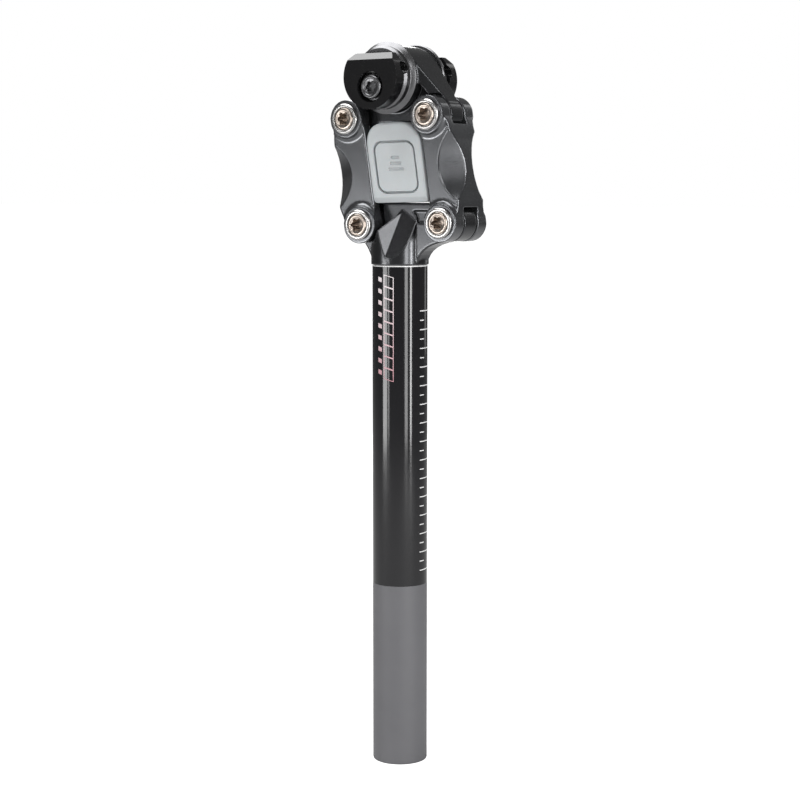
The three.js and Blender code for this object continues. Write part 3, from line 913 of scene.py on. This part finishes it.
def make_bush(name, body, at, side):
    flange = LUG_HALF + 0.15
    outline = [
        (BUSH_BORE_R, 0.2),
        (BUSH_R, 0.2),
        (BUSH_R, flange),
        (BUSH_FLANGE_R, flange),
        (BUSH_FLANGE_R, flange + 0.85),
        (BUSH_BORE_R, flange + 0.85),
    ]
    bm = bmesh.new()
    turn(bm, [(r, side * y) for r, y in outline], at, 72)
    bush = solid(f"{name}_piece", bm)
    break_edges(bush, 0.15, 2)
    place(bush, body, BUSH, "bush_polymer", name)


def make_axle(name, body, at, material):
    outline = [
        (AXLE_HOLE_R, -AXLE_HALF),
        (AXLE_R - 0.4, -AXLE_HALF),
        (AXLE_R, -AXLE_HALF + 0.4),
        (AXLE_R, AXLE_HALF - 0.4),
        (AXLE_R - 0.4, AXLE_HALF),
        (AXLE_HOLE_R, AXLE_HALF),
    ]
    bm = bmesh.new()
    turn(bm, outline, at, 72)
    place(solid(f"{name}_piece", bm), body, material, "steel", name)


SILVER = ((0.36, 0.355, 0.35, 1), (0.54, 0.53, 0.52, 1), 0.25)
NICKEL = ((0.3, 0.25, 0.21, 1), (0.52, 0.46, 0.41, 1), 0.28)
GROUND_STEEL = ((0.5, 0.5, 0.5, 1), (0.62, 0.62, 0.62, 1), 0.3)
pivots = {
    "front_lower": (FRONT_FOOT, "front_link", "post"),
    "front_upper": (FRONT_TOP, "front_link", "upper_head"),
    "rear_lower": (REAR_FOOT, "rear_link", "post"),
    "rear_upper": (REAR_TOP, "rear_link", "upper_head"),
}
for pivot, (at, link_body, lug_body) in pivots.items():
    silver = machined_material(f"silver_{pivot}", at, *SILVER)
    nickel = machined_material(f"nickel_{pivot}", at, *NICKEL)
    ground = machined_material(f"steel_{pivot}", at, *GROUND_STEEL)
    make_axle(f"axle_{pivot}", link_body, at, ground)
    for hand, side in (("left", -1), ("right", 1)):
        make_bush(f"bush_{pivot}_{hand}", lug_body, at, side)
        make_cap(f"cap_{pivot}_{hand}", link_body, at, side, silver)
        make_screw(f"screw_{pivot}_{hand}", link_body, at, side, nickel)

# ---- Elastomer ----
# The spring of the post: a block of cast light grey elastomer, pressed in between the links. Its
# flat end lies over the web, its sides lean with the links, and each face has a moulded panel.
ELASTOMER_HALF, ELASTOMER_HEIGHT = 18.3, 44.6
ELASTOMER_OFFSET, ELASTOMER_FOOT = 0.5, 11.9
ELASTOMER_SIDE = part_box("elastomer")[1].y / MM
KEY_REACH, KEY_HALF, KEY_LOW, KEY_TOP = 25.4, 6.6, 27, 43


def slanted():
    """Takes a block drawn square to the slant of the pivots' line and of the links."""
    across = Vector((REAR_FOOT[0] - FRONT_FOOT[0], REAR_FOOT[1] - FRONT_FOOT[1])).normalized()
    up = Vector(LINK).normalized()
    middle = [(a + b) / 2 for a, b in zip(FRONT_FOOT, REAR_FOOT)]
    rows = (
        (across.x, 0, up.x, middle[0]),
        (0, 1, 0, 0),
        (across.y, 0, up.y, middle[1]),
        (0, 0, 0, 1),
    )
    return Matrix(rows)


def elastomer_material():
    material, tree, shader = principled(
        "cast_elastomer", specular_ior_level=0.35, subsurface_weight=0.05, subsurface_scale=0.002
    )
    place_in = object_coordinates(tree)
    cloud = noise(tree, place_in, 70, 4, 0.6)
    speck = noise(tree, place_in, 1800, 2, 0.5)
    broad = math_node(tree, "MULTIPLY", cloud, 0.7)
    tone = math_node(tree, "ADD", broad, math_node(tree, "MULTIPLY", speck, 0.3))
    shade = mixed(tree, tone, (0.4, 0.425, 0.435, 1), (0.53, 0.555, 0.565, 1))
    skin = placed_group(tree, HANDLED, Vector=place_in, Roughness=0.5, Smear=0.14, Scratch=0.05)
    dress(tree, shader, shade, skin["Roughness"], bump(tree, skin["Height"], 0.2, 0.0001))
    return material


def tombstone_outline(half, height):
    """The block's outline: small corners at its foot, and one wide arch over the top."""
    corner = 2.2
    crown = half * 0.9
    shoulder = height - crown * 0.86
    bend = half * 0.42, height - 0.4
    far_bend = -bend[0], bend[1]
    return [
        *arc((-half + corner, corner), corner, 180, 270, 5),
        *arc((half - corner, corner), corner, 270, 360, 5),
        *curve((half, shoulder), (half, height - corner), bend, 10),
        *curve(bend, (0, height + 0.3), far_bend, 6)[1:],
        *curve(far_bend, (-half, height - corner), (-half, shoulder), 10)[1:],
    ]


def panel_outline(half, low, high, corner):
    """An upright panel with rounded corners."""
    return [
        *arc((-half + corner, low + corner), corner, 180, 270, 8),
        *arc((half - corner, low + corner), corner, 270, 360, 8),
        *arc((half - corner, high - corner), corner, 0, 90, 8),
        *arc((-half + corner, high - corner), corner, 90, 180, 8),
    ]


def make_elastomer():
    drawn = slanted() @ Matrix.Translation((ELASTOMER_OFFSET, 0, ELASTOMER_FOOT))
    face, beyond = ELASTOMER_SIDE, ELASTOMER_SIDE + 2
    groove_floor = ELASTOMER_SIDE - 2.6

    def block_part(name, outline, y0, y1, round_by=0.0):
        bm = bmesh.new()
        slab(bm, outline, *sorted((y0, y1)), round_by)
        return solid(name, bm, drawn)

    outline = tombstone_outline(ELASTOMER_HALF, ELASTOMER_HEIGHT)
    block = block_part("elastomer_piece", outline, -face, face, 2.0)
    in_metres = drawn.copy()
    in_metres.translation *= MM
    for side in (-1, 1):
        wedge = slant_cut("wedge", (0, side * face, 3.0), (0, side * 0.9, -0.5))
        wedge.data.transform(in_metres)
        combine(block, wedge, "DIFFERENCE")
        rim = panel_outline(13.8, 4.8, 34.2, 5.8)
        groove = block_part("groove", rim, side * groove_floor, side * beyond)
        field = panel_outline(12.5, 6.1, 32.9, 4.6)
        land = block_part("land", field, side * (groove_floor - 1), side * (face - 0.25), 0.25)
        combine(block, groove, "DIFFERENCE")
        combine(block, land, "UNION")
        for i in range(3):
            bar = panel_outline(5.2 - 1.2 * i, 17.5 + 3.2 * i, 19.3 + 3.2 * i, 0.85)
            rib = block_part("rib", bar, side * (face - 1.2), side * beyond)
            combine(block, rib, "DIFFERENCE")
    key = [
        (-KEY_REACH, KEY_LOW),
        (KEY_REACH, KEY_LOW),
        (KEY_REACH, KEY_TOP),
        (-KEY_REACH, KEY_TOP),
    ]
    bm = bmesh.new()
    slab(bm, key, -KEY_HALF, KEY_HALF, 1.2)
    combine(block, solid("key", bm, slanted()), "UNION")
    break_edges(block, 0.18, 2)
    place(block, "elastomer", elastomer_material(), "elastomer", "elastomer", sharp=35)
    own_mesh(block)


make_elastomer()

# ---- Upper head ----
# The forged head that the saddle clamp sits in: a barrel across the top, and under it a web with a
# lug for each upper pivot. A smooth strap of metal runs from the barrel's crown to the rear lug.
BARREL_R, BARREL_HALF, BARREL_BORE_R = 18.2, 13.0, 12.6
HEAD_UNDER = 361.3


def make_upper_head():
    cx, cz = CLAMP
    fx, fz = FRONT_TOP
    rx, rz = REAR_TOP
    under = HEAD_UNDER
    barrel = pin("upper_head_piece", CLAMP, BARREL_R, -BARREL_HALF, BARREL_HALF, 128)
    arch = [
        (fx - 7.5, fz + LUG_R - 3.6),
        (fx + 2.5, fz - LUG_R + 0.4),
        *curve((fx + 6, fz - 8), (fx + 8, under), (fx + 16, under), 6),
        *curve((rx - 18, under + 0.4), (rx - 9, under), (rx - 6, rz - 8), 6),
        (rx, rz - LUG_R + 0.2),
        (rx + LUG_R - 0.3, rz + 2),
        (cx + 14, cz + 11),
        (cx - 13, cz + 8),
    ]
    web = plate("web", arch, -LUG_HALF, LUG_HALF, 0.7)
    crown = [
        *arc(CLAMP, BARREL_R, 100, 40, 12),
        *curve((cx + 14.0, cz + 11.7), (cx + 24.5, cz - 1), (rx + 7.6, rz + 7.0), 8)[1:],
        (rx + 1.0, rz + 6.5),
        *curve((rx - 3, rz + 11), (cx + 17, cz - 2), (cx + 10, cz + 8), 6),
        (cx - 2, cz + 12),
    ]
    strap = plate("strap", crown, -BARREL_HALF, BARREL_HALF, 0.8)
    for side in (-1, 1):
        taper = slant_cut("taper", (cx + 12.5, side * BARREL_HALF, cz), (0.36, side * 1.0, 0))
        combine(strap, taper, "DIFFERENCE")
    brow = [
        (cx - 15.5, cz + 4),
        (cx - 13.5, cz - 9),
        *curve((fx + 14, fz + 9), (fx + 4, fz + 10.5), (fx - 6.5, fz + 7.8), 6),
        *curve((fx - 3.5, fz + 10.6), (cx - 20, cz - 9), (cx - 17.2, cz + 5), 6),
    ]
    shoulder = plate("shoulder", brow, -9, 9, 1.0)
    joins = [
        web,
        strap,
        shoulder,
        pin("front_lug", FRONT_TOP, LUG_R, -LUG_HALF, LUG_HALF),
        pin("rear_lug", REAR_TOP, LUG_R, -LUG_HALF, LUG_HALF),
    ]
    cuts = [pin("barrel_bore", CLAMP, BARREL_BORE_R, -30, 30, 128)]
    for at in (FRONT_TOP, REAR_TOP):
        cuts += lug_cuts(at, 11.6)
    forge(barrel, joins, cuts, voxel=0.42)
    place(barrel, "upper_head", FORGED_HEAD, "forged_black", "upper_head", sharp=70)


make_upper_head()

# ---- Saddle clamp ----
# Two turned inner jaws, anodised grey, sit in the barrel's ends. One bolt through everything draws
# two gloss black outer jaws onto them, and each pair of grooves grips a saddle rail.
INNER_JAW_R, JAW_STEP_R, INNER_JAW_OUT = 19.6, 17.2, 21.0
OUTER_JAW_IN, OUTER_JAW_OUT, OUTER_JAW_R = 23.0, 30.5, 17.4
OUTER_JAW_TOP = 12.8
COUNTERBORE_R, SEAT_Y = 8.3, 25.9
RAIL_Y, RAIL_R, RAIL_RISE = 22.0, 3.65, 4.8
BOLT_AT = joint_at["clamp_bolt_turn"]
BOLT_R, BOLT_HOLE_R, BOLT_HEAD_R, BOLT_SOCKET_R = 4.0, 4.35, 6.5, 3.4
NUT_R = 7.5
WASHER_T = 1.2


def rail_groove(side):
    bm = bmesh.new()
    bmesh.ops.create_cone(bm, cap_ends=True, segments=64, radius1=RAIL_R, radius2=RAIL_R, depth=90)
    at = Matrix.Translation((0, side * RAIL_Y, CLAMP[1] + RAIL_RISE))
    return solid("groove", bm, at @ ALONG_X)


def gloss_black():
    """Deep gloss black anodising on the outer jaws, over a very fine polish."""
    material, tree, shader = principled("gloss_black", specular_ior_level=0.5)
    place_in = object_coordinates(tree)
    skin = placed_group(tree, HANDLED, Vector=place_in, Roughness=0.12, Smear=0.06, Scratch=0.08)
    cloud = noise(tree, place_in, 60, 4, 0.6)
    shade = mixed(tree, cloud, (0.004, 0.004, 0.0045, 1), (0.009, 0.009, 0.0095, 1))
    dress(tree, shader, shade, skin["Roughness"], bump(tree, skin["Height"], 0.04, 0.00004))
    return material


def jaw_material():
    """Satin turned metal of the inner jaws, anodised grey."""
    material, tree, shader = principled("turned_grey", metallic=0.95)
    place_in = object_coordinates(tree)
    centre = (CLAMP[0] * MM, 0.0, CLAMP[1] * MM)
    rings = placed_group(tree, TURNED, Vector=place_in, Centre=centre, Rings=4200.0)
    skin = placed_group(tree, HANDLED, Vector=place_in, Roughness=0.26, Smear=0.08, Scratch=0.1)
    shade = mixed(tree, rings["Tone"], (0.11, 0.11, 0.115, 1), (0.19, 0.19, 0.195, 1))
    dress(tree, shader, shade, skin["Roughness"], bump(tree, rings["Height"], 0.1, 0.00003))
    return material


TURNED_GREY = jaw_material()
GLOSS_BLACK = gloss_black()


def make_inner_jaw(hand, side):
    flange = BARREL_HALF + 0.3
    outline = [
        (0, BARREL_HALF - 8),
        (BARREL_BORE_R - 0.3, BARREL_HALF - 8),
        (BARREL_BORE_R - 0.3, flange),
        (INNER_JAW_R - 0.5, flange),
        (INNER_JAW_R, flange + 0.5),
        (INNER_JAW_R, flange + 1.2),
        (INNER_JAW_R - 1.3, flange + 2.4),
        (JAW_STEP_R + 0.6, flange + 2.6),
        (JAW_STEP_R, flange + 3.2),
        (JAW_STEP_R, INNER_JAW_OUT - 1.4),
        (JAW_STEP_R - 1.4, INNER_JAW_OUT),
        (0, INNER_JAW_OUT),
    ]
    bm = bmesh.new()
    turn(bm, [(r, side * y) for r, y in outline], CLAMP, 128)
    jaw = solid(f"inner_jaw_{hand}_piece", bm)
    combine(jaw, pin("hole", BOLT_AT, BOLT_HOLE_R, -40, 40, 48), "DIFFERENCE")
    combine(jaw, rail_groove(side), "DIFFERENCE")
    break_edges(jaw, 0.2, 2)
    place(jaw, "clamp_cradle", TURNED_GREY, "jaw_satin", f"inner_jaw_{hand}")


def make_outer_jaw(hand, side):
    low, high = sorted((side * OUTER_JAW_IN, side * OUTER_JAW_OUT))
    jaw = pin(f"outer_jaw_{hand}_piece", CLAMP, OUTER_JAW_R, low, high, 160)
    crown = CLAMP[1] + OUTER_JAW_TOP
    top = plate("top", [(-40, crown), (40, crown), (40, crown + 20), (-40, crown + 20)], -50, 50)
    combine(jaw, top, "DIFFERENCE")
    slope = slant_cut("slope", (0, side * OUTER_JAW_OUT, crown - 3.6), (0, side * 1.0, 1.05))
    combine(jaw, slope, "DIFFERENCE")
    break_edges(jaw, 1.1, 5)
    combine(jaw, rail_groove(side), "DIFFERENCE")
    combine(jaw, pin("hole", BOLT_AT, BOLT_HOLE_R, -40, 40, 48), "DIFFERENCE")
    low, high = sorted((side * SEAT_Y, side * 45))
    combine(jaw, pin("counterbore", BOLT_AT, COUNTERBORE_R, low, high, 96), "DIFFERENCE")
    break_edges(jaw, 0.25, 2, 50)
    place(jaw, f"{hand}_jaw", GLOSS_BLACK, "forged_black", f"outer_jaw_{hand}")


def make_seat_washer(hand, side, material):
    low = SEAT_Y + 0.15
    outline = [
        (BOLT_HOLE_R, low),
        (COUNTERBORE_R - 0.5, low),
        (COUNTERBORE_R - 1.1, low + WASHER_T),
        (BOLT_HOLE_R, low + WASHER_T),
    ]
    bm = bmesh.new()
    turn(bm, [(r, side * y) for r, y in outline], BOLT_AT, 96)
    washer = solid(f"clamp_washer_{hand}_piece", bm)
    break_edges(washer, 0.15, 2)
    place(washer, f"{hand}_jaw", material, "dark_steel", f"clamp_washer_{hand}")


def make_clamp_bolt(material):
    under, top, tip = -SEAT_Y - 1.6, -OUTER_JAW_OUT + 0.2, OUTER_JAW_OUT - 0.6
    outline = [
        (0, tip),
        (BOLT_R - 0.6, tip),
        (BOLT_R, tip - 0.6),
        (BOLT_R, under),
        (BOLT_HEAD_R, under),
        (BOLT_HEAD_R, top + 0.7),
        (BOLT_HEAD_R - 0.7, top),
        (4.7, top),
        (4.3, top + 0.5),
        (0, top + 0.5),
    ]
    bm = bmesh.new()
    turn(bm, outline, BOLT_AT, 96)
    bolt = solid("clamp_bolt_piece", bm)
    combine(bolt, lobed(BOLT_AT, BOLT_SOCKET_R, top - 1, top + 2.6), "DIFFERENCE")
    break_edges(bolt, 0.12, 2)
    place(bolt, "clamp_bolt", material, "dark_steel", "clamp_bolt")


def make_clamp_nut(material):
    low, high = SEAT_Y + 1.6, OUTER_JAW_OUT - 0.2
    flats = arc(BOLT_AT, NUT_R, 0, 300, 5)
    nut = plate("clamp_nut_piece", flats, low, high)
    combine(nut, pin("thread", BOLT_AT, BOLT_HOLE_R, 0, 60, 64), "DIFFERENCE")
    break_edges(nut, 0.3, 3)
    place(nut, "right_jaw", material, "dark_steel", "clamp_nut")


BLACK_STEEL = machined_material(
    "black_steel", BOLT_AT, (0.07, 0.07, 0.073, 1), (0.17, 0.17, 0.175, 1), 0.26
)
for hand, side in (("left", -1), ("right", 1)):
    make_inner_jaw(hand, side)
    make_outer_jaw(hand, side)
    make_seat_washer(hand, side, BLACK_STEEL)
make_clamp_bolt(BLACK_STEEL)
make_clamp_nut(BLACK_STEEL)
